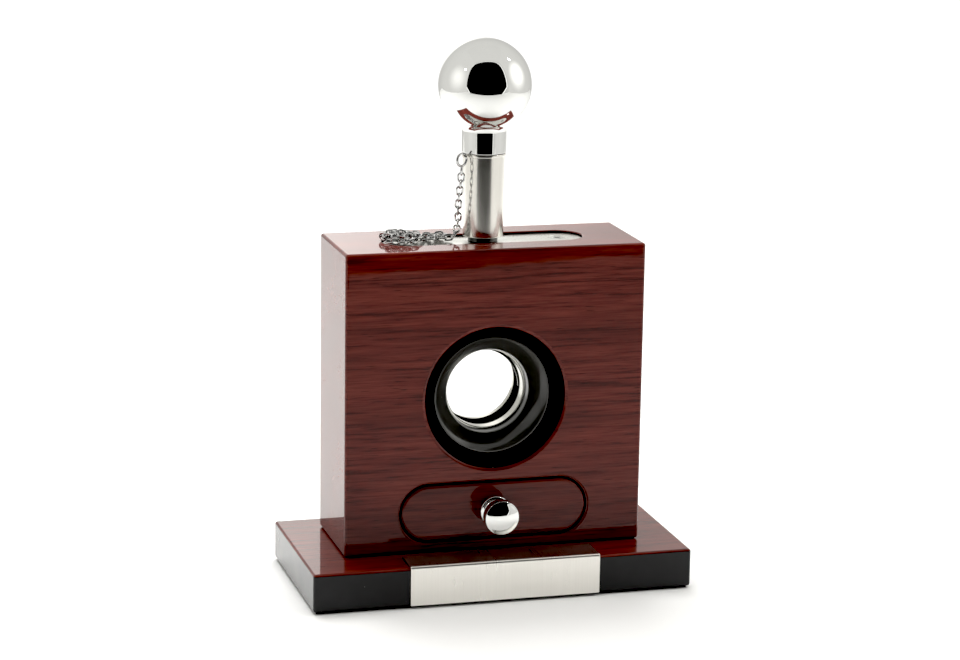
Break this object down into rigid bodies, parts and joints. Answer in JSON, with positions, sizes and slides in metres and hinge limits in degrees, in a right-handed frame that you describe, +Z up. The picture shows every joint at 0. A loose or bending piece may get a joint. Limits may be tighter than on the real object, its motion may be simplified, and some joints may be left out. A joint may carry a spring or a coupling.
{
  "type": "tabletop cigar cutter",
  "caption": "Tabletop guillotine cigar cutter: lacquered wooden tower on a plinth, sprung ball-topped plunger with a notched blade, through throat and clippings drawer.",
  "frame": {"origin": "middle of the surface the plinth's pad stands on, under the middle of the plinth's wood", "axes": "+Z up along the plunger, +Y from the front with the drawer to the back, +X to the right as seen from the front"},
  "size_m": [0.127, 0.0624, 0.1792],
  "materials": {
    "mahogany": "high gloss clear lacquer over mahogany veneer",
    "black_lacquer": "gloss black lacquer with a mahogany veneered top",
    "black_plastic": "polished black",
    "baize": "short felt pile",
    "brushed_steel": "fine straight brushing",
    "blade_steel": "ground",
    "chrome": "mirror",
    "satin_nickel": "satin drawn tube",
    "chain_steel": "bright",
    "screw_zinc": "bright zinc",
    "spring_steel": "oiled spring wire"
  },
  "bodies": {
    "stand": {"base_plinth": "black_lacquer", "base_pad": "baize", "base_screw_left": "screw_zinc", "base_screw_right": "screw_zinc", "corner_plate": "brushed_steel", "tower_block": "mahogany", "front_bezel": "black_plastic", "rear_bezel": "black_plastic", "front_guard": "brushed_steel", "rear_guard": "brushed_steel", "guide_rail_left": "brushed_steel", "guide_rail_right": "brushed_steel", "cassette_rivet_upper_left": "screw_zinc", "cassette_rivet_upper_right": "screw_zinc", "cassette_rivet_lower_left": "screw_zinc", "cassette_rivet_lower_right": "screw_zinc", "top_plate": "brushed_steel", "top_screw_left": "screw_zinc", "top_screw_right": "screw_zinc", "guide_bush": "black_plastic", "guide_tube": "satin_nickel", "return_spring": "spring_steel", "chain_anchor": "chain_steel", "chain_pile": "chain_steel", "chain_drop": "chain_steel"},
    "plunger": {"ball_knob": "chrome", "push_rod": "blade_steel", "chain_collar": "satin_nickel", "blade_holder": "brushed_steel", "blade": "blade_steel", "blade_pin_left": "screw_zinc", "blade_pin_right": "screw_zinc", "jump_ring": "chain_steel"},
    "drawer": {"drawer_front": "mahogany", "drawer_tray": "black_lacquer", "drawer_liner": "baize", "drawer_knob": "chrome", "knob_screw": "screw_zinc"}
  },
  "joints": [
    {"name": "plunger_press", "type": "slide", "parent": "stand", "child": "plunger", "axis": [0, 0, 1], "range_m": [-0.0248, 0], "stiffness_N_per_m": 120, "springref_m": 0.03, "deforming": ["return_spring", "chain_drop"]},
    {"name": "drawer_slide", "type": "slide", "parent": "stand", "child": "drawer", "axis": [0, -1, 0], "range_m": [0, 0.024]}
  ]
}
